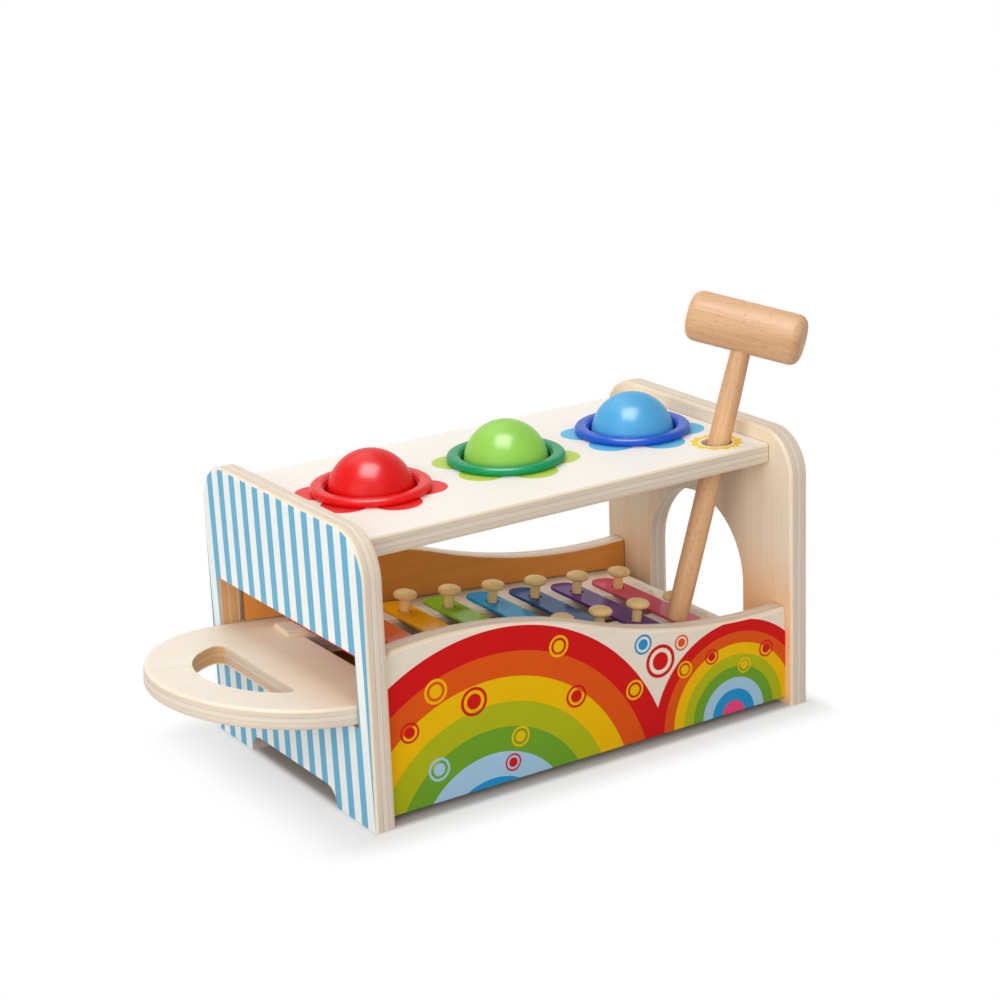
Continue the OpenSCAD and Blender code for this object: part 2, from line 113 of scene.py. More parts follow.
class Graph:
    """One procedural material in the making. Lengths in it are millimetres."""

    def __init__(self, name, roughness, specular, coat=0.0, coat_roughness=0.05):
        self.material = bpy.data.materials.new(name)
        self.material.use_nodes = True
        self.tree = self.material.node_tree
        self.shader = self.tree.nodes["Principled BSDF"]
        self.shader.inputs["Roughness"].default_value = roughness
        self.shader.inputs["Specular IOR Level"].default_value = specular
        self.shader.inputs["Coat Weight"].default_value = coat
        self.shader.inputs["Coat Roughness"].default_value = coat_roughness
        point = self.tree.nodes.new("ShaderNodeTexCoord").outputs["Object"]
        split = self.tree.nodes.new("ShaderNodeSeparateXYZ")
        self.tree.links.new(point, split.inputs[0])
        self.x, self.y, self.z = (Wire(self, s) * (1 / MM) for s in split.outputs)

    def put(self, value, socket):
        if isinstance(value, Wire):
            self.tree.links.new(value.socket, socket)
        else:
            socket.default_value = value

    def math(self, operation, *values, clamp=False):
        node = self.tree.nodes.new("ShaderNodeMath")
        node.operation = operation
        node.use_clamp = clamp
        for value, socket in zip(values, node.inputs):
            self.put(value, socket)
        return Wire(self, node.outputs[0])

    def largest(self, first, *others):
        """The largest of several values."""
        for other in others:
            first = self.math("MAXIMUM", first, other)
        return first

    def along(self, direction):
        """Distance along a direction."""
        return self.x * direction[0] + self.y * direction[1] + self.z * direction[2]

    def length(self, first, second):
        """Length of a way with two square parts."""
        return self.math("SQRT", first * first + second * second)

    def smooth(self, value, low, high):
        """0 below low, 1 above high, smooth between; falls where low is the higher one."""
        node = self.tree.nodes.new("ShaderNodeMapRange")
        node.interpolation_type = "SMOOTHSTEP"
        rising = low < high
        for socket, number in (("From Min", min(low, high)), ("From Max", max(low, high)),
                               ("To Min", 0 if rising else 1), ("To Max", 1 if rising else 0)):
            node.inputs[socket].default_value = number
        self.put(value, node.inputs["Value"])
        return Wire(self, node.outputs[0])

    def above(self, value, limit, soft):
        """1 above a limit, with a soft border."""
        return self.smooth(value, limit - soft, limit + soft)

    def below(self, value, limit, soft):
        """1 below a limit, with a soft border."""
        return self.smooth(value, limit + soft, limit - soft)

    def band(self, value, low, high, soft):
        """1 between low and high, with soft borders."""
        return self.above(value, low, soft) * self.below(value, high, soft)

    def noise(self, x, y, z, detail=2.0, roughness=0.5):
        """Noise from 0 to 1 about 0.5, one cell per unit."""
        join = self.tree.nodes.new("ShaderNodeCombineXYZ")
        for value, socket in zip((x, y, z), join.inputs):
            self.put(value, socket)
        node = self.tree.nodes.new("ShaderNodeTexNoise")
        node.inputs["Scale"].default_value = 1.0
        node.inputs["Detail"].default_value = detail
        node.inputs["Roughness"].default_value = roughness
        self.tree.links.new(join.outputs[0], node.inputs["Vector"])
        return Wire(self, node.outputs["Fac"])

    def figure(self, place, cell, shift=(0, 0, 0), detail=2.0, roughness=0.5):
        """Noise with cells of three given lengths, shifted by some cells."""
        parts = (p / c + s if s else p / c for p, c, s in zip(place, cell, shift))
        return self.noise(*parts, detail, roughness)

    def cloud(self, size, shift=(0, 0, 0), detail=2.0, roughness=0.5):
        """Noise with cells of one size."""
        return self.figure((self.x, self.y, self.z), (size, size, size), shift, detail, roughness)

    def mix(self, share, first, second, blend="MIX"):
        """Colour first where share is 0, second where it is 1."""
        node = self.tree.nodes.new("ShaderNodeMix")
        node.data_type = "RGBA"
        node.blend_type = blend
        self.put(share, node.inputs[0])
        self.put(first, node.inputs[MIX_FIRST])
        self.put(second, node.inputs[MIX_SECOND])
        return Wire(self, node.outputs[MIX_RESULT])

    def tinted(self, share, colour, tint):
        """Colour times a tint, as far as the share says."""
        return self.mix(share, colour, self.mix(1.0, colour, tint, "MULTIPLY"))

    def grey(self, value):
        """A value as a colour."""
        node = self.tree.nodes.new("ShaderNodeCombineColor")
        for socket in node.inputs[:3]:
            self.put(value, socket)
        return Wire(self, node.outputs[0])

    def shaded(self, colour, value):
        """Colour times a value."""
        return self.mix(1.0, colour, self.grey(value), "MULTIPLY")

    def varied(self, colour, *noises, mean=1.0):
        """Colour made lighter and darker by noises, each given with its spread."""
        value = mean
        for noise, spread in noises:
            value = value + (noise - 0.5) * spread
        return self.shaded(colour, value)

    def finish(self, colour, height=None, depth=None, roughness=None):
        """Connects the colour, a bump height whose unit is depth millimetres, and a roughness."""
        self.put(colour, self.shader.inputs["Base Color"])
        if roughness is not None:
            self.put(roughness, self.shader.inputs["Roughness"])
        if height is not None:
            bump = self.tree.nodes.new("ShaderNodeBump")
            bump.inputs["Strength"].default_value = 1.0
            bump.inputs["Distance"].default_value = depth * MM
            self.put(height, bump.inputs["Height"])
            self.tree.links.new(bump.outputs[0], self.shader.inputs["Normal"])
        return self.material


# Colours, as seen in plain light

CREAM = linear(249, 235, 214)
CREAM_DARK = linear(236, 210, 174)
PLY_LIGHT = linear(240, 228, 212)
PLY_DARK = linear(231, 215, 197)
GLUE = linear(170, 144, 122)
SEAM = linear(112, 82, 58)
PRINT_WHITE = linear(252, 252, 250)
STRIPE_BLUE = linear(106, 184, 222)
STRIPE_WHITE = linear(248, 252, 250)
LINING = linear(238, 174, 98)
# painted warm shade, standing in for bounced light: on sawn inner walls and on the low parts inside
PAINTED_WALL_SHADE = linear(246, 210, 166)
PAINTED_INSIDE_SHADE = linear(255, 223, 191)

# Wood

# cells of a veneer's figure in millimetres: along the grain, across it, through the board
BROAD = (130, 17, 40)
STREAK = (210, 3.2, 6)
FIBRE = (26, 0.55, 0.8)
PORE = (5.5, 0.42, 0.5)
# how far the broad figure bends the streaks, in millimetres
WAVER = 16
# the noise of a pore's border and of its full depth, and how much it darkens
PORE_FROM, PORE_FULL, PORE_DARK = 0.70, 0.78, 0.10
# share of the dark veneer where the figure is even, and what adds to it and takes from it
DARK_SHARE = 0.30
BROAD_TONE, STREAK_TONE, FIBRE_TONE = 0.75, 1.0, 0.35
# parts of the grain's height
FIBRE_HIGH, STREAK_HIGH, PORE_LOW = 0.6, 0.4, 0.8
# height of the grain, in millimetres
GRAIN_DEPTH = 0.05


def veneer(g, along, across, through, seed, contrast=1.0):
    """Colour and height of a light, fine-grained veneer; along is the grain's direction."""
    place = (along, across, through)
    broad = g.figure(place, BROAD, (seed, 0, seed), detail=3.0, roughness=0.55)
    wavy = across + (broad - 0.5) * WAVER
    streak = g.figure((along, wavy, through), STREAK, (seed * 2, 0, seed),
                      detail=3.0, roughness=0.6)
    fibre = g.figure(place, FIBRE, (0, 0, seed), detail=2.0, roughness=0.6)
    pore = g.figure(place, PORE, (seed, 0, 0), detail=1.0, roughness=0.4)
    pore = g.smooth(pore, PORE_FROM, PORE_FULL)
    tone = ((broad - 0.5) * BROAD_TONE + (streak - 0.5) * STREAK_TONE
            + (fibre - 0.5) * FIBRE_TONE)
    share = g.math("ADD", tone * contrast, DARK_SHARE * contrast, clamp=True)
    colour = g.shaded(g.mix(share, CREAM, CREAM_DARK), 1.0 - pore * (PORE_DARK * contrast))
    return colour, fibre * FIBRE_HIGH + streak * STREAK_HIGH - pore * PORE_LOW


# an ink layer lies only this deep in a face, in millimetres
INK, INK_SOFT = 0.25, 0.1
# a face's own colour ends between these depths
FACE_FULL, FACE_NONE = 0.4, 0.6
# a sawn wall starts at this depth
WALL_DEEP, WALL_SOFT = 0.5, 0.1


def inked(g, depth):
    """1 on the printed face of a board."""
    return g.smooth(depth, INK + INK_SOFT, INK)


def inner_face(g, depth, thickness):
    """1 on the face away from the print."""
    return g.smooth(depth, thickness - FACE_NONE, thickness - FACE_FULL)


def sawn_wall(g, depth, thickness):
    """1 between the two faces of a board."""
    return g.band(depth, WALL_DEEP, thickness - WALL_DEEP, WALL_SOFT)


# borders of the five plies, as shares of the thickness from its middle
CORE_PLY, CROSS_PLY, PLY_SOFT = 0.13, 0.36, 0.012
# the glue line's border and full width in such shares, and its strength
GLUE_FROM, GLUE_FULL, GLUE_SHARE = 0.024, 0.004, 0.42
# how far the plies wander, in millimetres
PLY_WANDER = 0.5
# cells of the plies' figure in millimetres: along, across, through
WANDER = (45, 45, 30)
END_PORE = (0.6, 0.6, 0.9)
PLY_STREAK = (40, 40, 0.32)
PLY_SPREAD, PORE_SPREAD = 0.36, 0.20
# the core ply is a little darker than its colour says
CORE_MEAN = 0.96
# part of the streaks in the height of a sawn edge
SAWN_STREAK = 0.5


def plywood(g, depth, thickness, along, across, seed, contrast=1.0, lining=None):
    """Colour and height of plywood: veneer on both faces, plies of changing grain between them.
    A lining is another colour of the face away from the print."""
    colour, height = veneer(g, along, across, depth, seed, contrast)
    if lining is not None:
        colour = g.tinted(inner_face(g, depth, thickness), colour, lining)
    place = (along, across, depth)
    wander = g.figure(place, WANDER, (seed, 0, 0), detail=1.0) - 0.5
    layer = ((depth + wander * PLY_WANDER) / thickness - 0.5).absolute()
    inner = g.below(layer, CROSS_PLY, PLY_SOFT)
    core = g.below(layer, CORE_PLY, PLY_SOFT)
    end_pore = g.figure(place, END_PORE, detail=2.0, roughness=0.7)
    streak = g.figure(place, PLY_STREAK, (seed, 0, seed), detail=2.0, roughness=0.6)
    cross_ply = g.varied(PLY_DARK, (end_pore, PORE_SPREAD), (streak, PLY_SPREAD))
    core_ply = g.varied(PLY_LIGHT, (streak, PLY_SPREAD), mean=CORE_MEAN)
    from_middle = (layer - (CORE_PLY + CROSS_PLY) / 2).absolute()
    border = (from_middle - (CROSS_PLY - CORE_PLY) / 2).absolute()
    line = g.smooth(border, GLUE_FROM, GLUE_FULL) * inner
    colour = g.mix(inner, colour, g.mix(core, cross_ply, core_ply))
    colour = g.mix(line * GLUE_SHARE, colour, GLUE)
    sawn = (1.0 - core) * end_pore + streak * SAWN_STREAK - line
    return colour, height * (1.0 - inner) + sawn * inner


# cells of solid wood's figure in millimetres: along the grain, and twice across it
WOOD_BROAD = (90, 9, 9)
WOOD_STREAK = (55, 1.4, 1.4)
WOOD_FINE = (14, 0.35, 0.35)
FLECK = (2.6, 0.38, 0.38)
FLECK_FROM, FLECK_FULL, FLECK_SHARE = 0.62, 0.74, 0.55
WOOD_SPECULAR = 0.22
# share of the dark wood where the figure is even, and what adds to it and takes from it
WOOD_DARK_SHARE = 0.38
WOOD_BROAD_TONE, WOOD_STREAK_TONE, WOOD_FINE_TONE = 1.3, 1.0, 0.5
# parts of its height
WOOD_FINE_HIGH, WOOD_STREAK_HIGH, FLECK_LOW = 0.6, 0.4, 0.7


def solid_wood(name, axis, light, dark, fleck_colour, seed, roughness):
    """Turned solid wood, with grain along an axis and short dark flecks in it."""
    g = Graph(name, roughness, WOOD_SPECULAR)
    axis = Vector(axis).normalized()
    side = axis.orthogonal().normalized()
    place = (g.along(axis), g.along(side), g.along(axis.cross(side)))
    broad = g.figure(place, WOOD_BROAD, (seed, 0, 0), detail=3.0, roughness=0.55)
    streak = g.figure(place, WOOD_STREAK, (seed, 0, 0), detail=3.0, roughness=0.6)
    fine = g.figure(place, WOOD_FINE, detail=2.0, roughness=0.6)
    fleck = g.figure(place, FLECK, (seed, 0, 0), detail=1.0, roughness=0.4)
    fleck = g.smooth(fleck, FLECK_FROM, FLECK_FULL)
    tone = ((broad - 0.5) * WOOD_BROAD_TONE + (streak - 0.5) * WOOD_STREAK_TONE
            + (fine - 0.5) * WOOD_FINE_TONE)
    colour = g.mix(g.math("ADD", tone, WOOD_DARK_SHARE, clamp=True), light, dark)
    colour = g.mix(fleck * FLECK_SHARE, colour, fleck_colour)
    height = fine * WOOD_FINE_HIGH + streak * WOOD_STREAK_HIGH - fleck * FLECK_LOW
    return g.finish(colour, height, GRAIN_DEPTH)


# Places of the housing, in millimetres

left_low, left_high = box_mm("left_end_panel")
right_high = box_mm("right_end_panel")[1]
board_low, board_high = box_mm("top_board")
front_low, front_high = box_mm("front_panel")
back_high = box_mm("back_panel")[1]
MIDDLE_X = (left_low.x + right_high.x) / 2
PANEL_THICKNESS = left_high.x - left_low.x
BOARD_THICKNESS = board_high.z - board_low.z
SIDE_THICKNESS = front_high.y - front_low.y

# dark joint at both ends of a board: its border and full depth, and its strength
SEAM_FROM, SEAM_FULL, SEAM_SHARE = 0.7, 0.25, 0.75


def seam(g, colour, low, high):
    """Darkens the last sliver before both ends of a board, where it meets the end panels."""
    inside = g.math("MINIMUM", g.x - low.x, high.x - g.x)
    return g.mix(g.smooth(inside, SEAM_FROM, SEAM_FULL) * SEAM_SHARE, colour, SEAM)


# End panels with stripes on their outer faces

STRIPE_PITCH = 12.98
STRIPE_HALF, STRIPE_SOFT = 3.05, 0.18
# the middle of a stripe, and how much all lean about a height
STRIPE_MIDDLE = -70.15
STRIPE_LEAN, STRIPE_LEVEL = 0.036, 100
# ragged ink edge: cell and width in millimetres
RAGGED_CELL, RAGGED_WIDTH = 0.6, 0.25
# uneven blue: cells in millimetres across and up, step from the panel's seed, spread
STRIPE_CLOUD, STRIPE_SEED, STRIPE_SPREAD = (30, 55), 3.0, 0.1
# how far the white ground covers the wood
STRIPE_GROUND = 0.97
# the tray's slot lies between these heights, and this far within the panel's edges
SLOT_LOW, SLOT_HIGH, SLOT_EDGE = 48, 102, 3
# the ceiling of the gap between the feet gets painted warm shade below this height, this near the
# middle
FOOT_HIGH, FOOT_HALF = 13, 41
# painted warm shade on the inner faces, strongest low down behind the front panel
SHADE_LOW, SHADE_HIGH = 45, 95
SHADE_FRONT, SHADE_BACK, SHADE_LEAST = -30, 40, 0.45
PANEL_ROUGHNESS, PANEL_SPECULAR = 0.42, 0.14
# how much of the grain's height ink fills
INK_FILLS_STRIPES, INK_FILLS = 0.6, 0.5


def end_panel_material(name, depth_from, way, seed, has_slot):
    """Plywood with stripes; depth runs inwards from the outer face."""
    g = Graph(name, PANEL_ROUGHNESS, PANEL_SPECULAR)
    depth = (g.x - depth_from) * way
    colour, height = plywood(g, depth, PANEL_THICKNESS, g.z, g.y, seed)
    # painted warm shade on the inner face, low down and more towards the front
    front = g.smooth(g.y, SHADE_BACK, SHADE_FRONT) * (1 - SHADE_LEAST) + SHADE_LEAST
    low = g.smooth(g.z, SHADE_HIGH, SHADE_LOW)
    colour = g.tinted(inner_face(g, depth, PANEL_THICKNESS) * low * front, colour, PAINTED_INSIDE_SHADE)
    from_middle = g.y.absolute()
    # painted warm shade on the sawn walls of the gap between the feet and of the slot
    shade_walls = g.smooth(from_middle, FOOT_HALF + 1, FOOT_HALF) * g.smooth(g.z, FOOT_HIGH + 1, FOOT_HIGH)
    if has_slot:
        slot_half = left_high.y - SLOT_EDGE
        slot = g.smooth(from_middle, slot_half, slot_half - 1)
        shade_walls = shade_walls + slot * g.band(g.z, SLOT_LOW, SLOT_HIGH, 1)
    colour = g.tinted(shade_walls * sawn_wall(g, depth, PANEL_THICKNESS), colour, PAINTED_WALL_SHADE)
    printed = inked(g, depth)
    place = (g.y - STRIPE_MIDDLE - (g.z - STRIPE_LEVEL) * STRIPE_LEAN) / STRIPE_PITCH
    away = ((place + 0.5).fraction() - 0.5).absolute() * STRIPE_PITCH
    ragged = g.noise(g.y / RAGGED_CELL, g.z / RAGGED_CELL, seed, detail=1.0) - 0.5
    stripe = g.below(away + ragged * RAGGED_WIDTH, STRIPE_HALF, STRIPE_SOFT)
    cloud = g.noise(g.y / STRIPE_CLOUD[0], g.z / STRIPE_CLOUD[1], seed + STRIPE_SEED)
    colour = g.mix(printed * STRIPE_GROUND, colour, STRIPE_WHITE)
    colour = g.mix(printed * stripe, colour, g.varied(STRIPE_BLUE, (cloud, STRIPE_SPREAD)))
    return g.finish(colour, height * (1.0 - printed * INK_FILLS_STRIPES), GRAIN_DEPTH)


dress("left_end_panel",
      end_panel_material("striped_end_left", left_low.x, 1, seed=1.7, has_slot=True))
dress("right_end_panel",
      end_panel_material("striped_end_right", right_high.x, -1, seed=6.1, has_slot=False))

# Top board with petals under the rings and a sun round the hammer hole

PETAL_COLOURS = {
    "red": linear(240, 44, 42),
    "green": linear(192, 220, 82),
    "blue": linear(100, 194, 238),
}
PETAL_REACH, PETAL_RADIUS = 27.0, 12.6
PETAL_SECTOR = math.radians(60)
# uneven ink: cell in millimetres, seed, spread
PETAL_CELL, PETAL_SEED, PETAL_SPREAD = 9, 2.0, 0.12
SUN_YELLOW = linear(250, 218, 24)
SUN_INNER, SUN_OUTER = 9.8, 12.6
SUN_RAYS, SUN_RAY = 12, 2.2
# the hole's middle from the board's far end and from its front
HOLE_INSET, HOLE_SETBACK = 19.8, 20.1
# soft border of the print, and how far its white ground covers the wood
BOARD_SOFT, BOARD_WHITE = 0.15, 0.80
BOARD_GRAIN_DEPTH = 0.04
BOARD_ROUGHNESS = 0.40


def flower(g, middle):
    """1 on six round petals about a middle."""
    away_x, away_y = g.x - middle.x, g.y - middle.y
    radius = g.length(away_x, away_y)
    turn = g.math("ARCTAN2", away_y, away_x)
    folded = ((turn / PETAL_SECTOR).fraction() - 0.5) * PETAL_SECTOR
    lobe_x = radius * g.math("COSINE", folded) - PETAL_REACH
    lobe_y = radius * g.math("SINE", folded)
    lobe = g.length(lobe_x, lobe_y)
    outside = g.math("MINIMUM", lobe - PETAL_RADIUS, radius - PETAL_REACH)
    return g.below(outside, 0, BOARD_SOFT)


def sun(g):
    """1 on a ring with rays round the hammer hole."""
    away_x, away_y = g.x - (board_high.x - HOLE_INSET), g.y - (board_low.y + HOLE_SETBACK)
    radius = g.length(away_x, away_y)
    turn = g.math("ARCTAN2", away_y, away_x) * (SUN_RAYS / (2 * math.pi))
    tooth = 1.0 - (turn.fraction() - 0.5).absolute() * 2.0
    outer = g.below(radius - tooth * SUN_RAY, SUN_OUTER, BOARD_SOFT)
    return outer * g.above(radius, SUN_INNER, BOARD_SOFT)


def board_material():
    g = Graph("printed_board", BOARD_ROUGHNESS, PANEL_SPECULAR)
    depth = board_high.z - g.z
    colour, height = plywood(g, depth, BOARD_THICKNESS, g.x, g.y, seed=3.3, contrast=0.8)
    printed = inked(g, depth)
    colour = seam(g, g.mix(printed * BOARD_WHITE, colour, PRINT_WHITE), board_low, board_high)
    cloud = g.noise(g.x / PETAL_CELL, g.y / PETAL_CELL, PETAL_SEED)
    flowers = 0.0
    for name, petal_colour in PETAL_COLOURS.items():
        low, high = box_mm(name + "_ring")
        petals = flower(g, (low + high) / 2)
        petal_colour = g.varied(petal_colour, (cloud, PETAL_SPREAD))
        colour = g.mix(petals * printed, colour, petal_colour)
        flowers = flowers + petals
    colour = g.mix(sun(g) * printed, colour, SUN_YELLOW)
    return g.finish(colour, height * (1.0 - printed * flowers * INK_FILLS), BOARD_GRAIN_DEPTH)


dress("top_board", board_material())

# Side panels: rainbow print in front, plain veneer behind, edges of the wave rounded

BAND_COLOURS = [
    linear(218, 22, 22), linear(232, 90, 20), linear(248, 196, 0), linear(184, 190, 20),
    linear(114, 168, 42), linear(172, 212, 242), linear(36, 154, 218), linear(246, 78, 134),
]
# middle x and z from the middle of the housing, outer radius, width of a band
RAINBOWS = [(-64.9, -24.6, 113.2, 13.35), (89.7, 3.7, 53.1, 6.5)]
# middle x and z, radius, colour of the dots
DOTS = [
    (-96.7, 64.0, 3.6, 2), (-22.7, 70.0, 3.2, 2), (-74.7, 53.0, 4.2, 0), (-12.7, 40.0, 3.4, 0),
    (-96.7, 22.0, 3.4, 5), (-47.7, 27.0, 3.0, 2), (24.3, 34.0, 3.0, 2), (41.3, 46.0, 5.0, 0),
    (30.3, 58.0, 3.0, 6), (57.2, 37.2, 2.6, 2), (75.3, 40.0, 2.4, 0), (112.3, 36.0, 2.6, 0),
    (97.3, 30.0, 2.4, 2), (-52.7, 14.0, 2.6, 0), (-112.7, 46.0, 3.0, 0), (55.3, 53.0, 2.4, 1),
]
# a dot has a pale gap and a thin ring round it, in shares of its radius
DOT_GAP, DOT_RING = 1.45, 1.85
# uneven ink: cell in millimetres, seed, spread
ARC_CELL, ARC_SEED, ARC_SPREAD = 14, 4.0, 0.1
# soft border of the print, and how far its white ground covers the wood
ARC_SOFT, SIDE_WHITE = 0.12, 0.35
SIDE_ROUGHNESS, SIDE_SPECULAR = 0.40, 0.10


def rainbow_print(g, colour, printed):
    """Arcs and dots over a colour, where the panel is printed."""
    x = g.x - MIDDLE_X
    cloud = g.noise(g.x / ARC_CELL, g.z / ARC_CELL, ARC_SEED, detail=3.0)
    colour = g.mix(printed * SIDE_WHITE, colour, PRINT_WHITE)
    for middle_x, middle_z, outer, width in RAINBOWS:
        radius = g.length(x - middle_x, g.z - middle_z)
        for number, band_colour in enumerate(BAND_COLOURS):
            inside = g.below(radius, outer - number * width, ARC_SOFT)
            band_colour = g.varied(band_colour, (cloud, ARC_SPREAD))
            colour = g.mix(inside * printed, colour, band_colour)
    for middle_x, middle_z, size, number in DOTS:
        radius = g.length(x - middle_x, g.z - middle_z)
        dot = g.below(radius, size, ARC_SOFT)
        ring = g.band(radius, size * DOT_GAP, size * DOT_RING, ARC_SOFT)
        colour = g.mix((dot + ring) * printed, colour, BAND_COLOURS[number])
    return colour


def side_panel_material(name, depth_from, way, seed, has_print):
    """Plywood with a lining; depth runs inwards from the outer face."""
    g = Graph(name, SIDE_ROUGHNESS, SIDE_SPECULAR)
    depth = (g.y - depth_from) * way
    colour, height = plywood(g, depth, SIDE_THICKNESS, g.x, g.z, seed, lining=LINING)
    colour = seam(g, colour, front_low, front_high)
    if has_print:
        printed = inked(g, depth)
        colour = rainbow_print(g, colour, printed)
        height = height * (1.0 - printed * INK_FILLS)
    return g.finish(colour, height, GRAIN_DEPTH)


# points nearer than this are one, in metres, and faces flatter than this are one
WELD = 1e-6
FLAT = math.radians(0.1)
# an edge is eased where its faces turn by more than this
SHARP = math.radians(35)
WAVE_ROUND, WAVE_STEPS = 2.2, 4
# above this height at the slot end, falling by this slope, lies the wave, and below it the groove
WAVE_ABOVE, WAVE_FALL = 69.0, 0.0998
WAVE_LOWEST = 52.0
# a point this near to a face is on it, and an edge this long runs along the panel
ON_FACE, LEAST_RUN = 0.02, 0.01


def merged_mesh(node):
    """A CAD node's mesh as bmesh, its facets joined and its flat faces whole."""
    source = nodes[node].data
    bm = bmesh.new()
    verts = [bm.verts.new(v.co) for v in source.vertices]
    for polygon in source.polygons:
        bm.faces.new([verts[i] for i in polygon.vertices])
    bmesh.ops.remove_doubles(bm, verts=bm.verts, dist=WELD)
    bmesh.ops.dissolve_limit(bm, angle_limit=FLAT, use_dissolve_boundaries=False,
                             verts=bm.verts, edges=bm.edges)
    return bm


def is_wave_edge(edge, low, high):
    """Whether an edge is one of the long upper edges of a side panel."""
    if len(edge.link_faces) != 2 or edge.calc_face_angle() <= SHARP:
        return False
    ends = [v.co / MM for v in edge.verts]
    on_face = any(all(abs(p.y - face) < ON_FACE for p in ends) for face in (low.y, high.y))
    above = all(p.z > max(WAVE_LOWEST, WAVE_ABOVE - WAVE_FALL * (p.x - left_low.x)) for p in ends)
    return on_face and above and abs(ends[0].x - ends[1].x) > LEAST_RUN


def side_panel(node, name, body, material):
    """A copy of a side panel with its wave rounded, in the panel's place."""
    low, high = box_mm(node)
    bm = merged_mesh(node)
    edges = [e for e in bm.edges if is_wave_edge(e, low, high)]
    bmesh.ops.bevel(bm, geom=edges, offset=WAVE_ROUND * MM, offset_type="OFFSET",
                    segments=WAVE_STEPS, profile=0.5, affect="EDGES", clamp_overlap=True)
    for face in bm.faces:
        face.smooth = True
    mesh = bpy.data.meshes.new(name)
    bm.to_mesh(mesh)
    bm.free()
    mesh.materials.append(material)
    piece = bpy.data.objects.new(name, mesh)
    bpy.context.scene.collection.objects.link(piece)
    piece.modifiers.new("even_normals", "WEIGHTED_NORMAL").keep_sharp = True
    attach(piece, body)
    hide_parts(node)


side_panel("front_panel", "front_side", "bench",
           side_panel_material("printed_side", front_low.y, 1, seed=2.4, has_print=True))
side_panel("back_panel", "back_side", "bench",
           side_panel_material("plain_side", back_high.y, -1, seed=8.8, has_print=False))

# Tray, rails, felts and pegs

slide = Vector(joints["tray_slide"]["axis"]).normalized()
TRAY_DOWN = Vector((-slide.x, 0, -slide.z))
TRAY_UP = Vector((slide.z, 0, -slide.x))
# height of the tray's top at the slot's outer face, and its thickness
TRAY_ENTRY, TRAY_THICKNESS = 64.4, 10.4
tray_point = Vector((left_low.x, 0, TRAY_ENTRY))
tray_low, tray_high = box_mm("tray")
# the grip hole lies this far within the rim and this near the tray's tip, with this soft border
GRIP_RIM, GRIP_FAR, GRIP_SOFT = 6, 58, 2
# the tray is paler than the housing, and has painted warm shade towards the slot over this length,
# by this share
TRAY_PALE = 0.28
TRAY_SHADE_REACH, TRAY_SHADE_SHARE = 40, 0.35


def tray_material():
    g = Graph("tray_ply", PANEL_ROUGHNESS, PANEL_SPECULAR)
    depth = TRAY_UP.dot(tray_point) - g.along(TRAY_UP)
    colour, height = plywood(g, depth, TRAY_THICKNESS, g.along(TRAY_DOWN), g.y, seed=5.2,
                             contrast=0.75)
    wall = sawn_wall(g, depth, TRAY_THICKNESS)
    face = 1.0 - wall
    colour = g.mix(face * TRAY_PALE, colour, PRINT_WHITE)
    # painted warm shade on the tray's faces near the slot, more towards the front
    near_slot = g.smooth(g.x, left_low.x - TRAY_SHADE_REACH, left_low.x)
    near_front = g.smooth(g.y, TRAY_SHADE_REACH, -TRAY_SHADE_REACH)
    colour = g.tinted(face * near_slot * near_front * TRAY_SHADE_SHARE, colour, PAINTED_INSIDE_SHADE)
    end_radius = (tray_high.y - tray_low.y) / 2
    from_tip = g.x - tray_low.x
    from_rim = end_radius - g.length(from_tip - end_radius, g.y)
    grip = g.smooth(from_rim, GRIP_RIM - GRIP_SOFT, GRIP_RIM)
    grip = grip * g.smooth(from_tip, GRIP_FAR, GRIP_FAR - GRIP_SOFT)
    # painted warm shade on the grip hole's sawn wall
    colour = g.tinted(grip * wall, colour, PAINTED_WALL_SHADE)
    return g.finish(colour, height, GRAIN_DEPTH)


def rail_material():
    g = Graph("rail_wood", roughness=0.5, specular=0.2)
    colour, height = veneer(g, g.along(TRAY_DOWN), g.y, g.z, seed=9.1, contrast=1.2)
    return g.finish(colour, height, GRAIN_DEPTH)


FELT_WHITE = linear(232, 224, 208)
# fuzz and clumps of felt: their cells and height in millimetres, and the spread of their shade
FUZZ_CELL, CLUMP_CELL, FUZZ_DEPTH = 0.5, 3.0, 0.15
FELT_SPREAD = 0.2
# part of the clumps in the height
CLUMP_HIGH = 0.5


def felt_material():
    g = Graph("felt", roughness=0.95, specular=0.15)
    fuzz = g.cloud(FUZZ_CELL, detail=4.0, roughness=0.7)
    clump = g.cloud(CLUMP_CELL, detail=3.0, roughness=0.6)
    colour = g.varied(FELT_WHITE, (fuzz, FELT_SPREAD), (clump, FELT_SPREAD))
    return g.finish(colour, fuzz + clump * CLUMP_HIGH, FUZZ_DEPTH)


# light wood, dark wood, fleck
MAPLE = (linear(253, 224, 162), linear(240, 198, 124), linear(200, 152, 92))
RAW_BIRCH = (linear(238, 216, 178), linear(212, 180, 132), linear(184, 146, 98))
BEECH = (linear(235, 191, 148), linear(202, 148, 104), linear(158, 104, 64))
DOWEL_AXIS = (1, 0, 0)

dress("tray", tray_material())
for node in ("back_rail", "front_rail"):
    dress(node, rail_material())
for node in ("back_felt", "front_felt"):
    dress(node, felt_material())
dress("bar_pegs", solid_wood("peg_wood", TRAY_UP, *MAPLE, seed=1.3, roughness=0.40))
dowel_material = solid_wood("dowel_wood", DOWEL_AXIS, *RAW_BIRCH, seed=2.9, roughness=0.6)
for node in ("board_dowels", "panel_dowels"):
    dress(node, dowel_material)

# Hammer

# the head lies square to the handle
HEAD_AXIS = (0.6151, -0.7602, -0.2093)
HANDLE_AXIS = joints["hammer_lift"]["axis"]
dress("hammer_head",
      solid_wood("hammer_head_wood", HEAD_AXIS, *BEECH, seed=4.4, roughness=0.50))
dress("hammer_handle",
      solid_wood("hammer_handle_wood", HANDLE_AXIS, *BEECH, seed=7.7, roughness=0.50))

# Balls, rings and bars

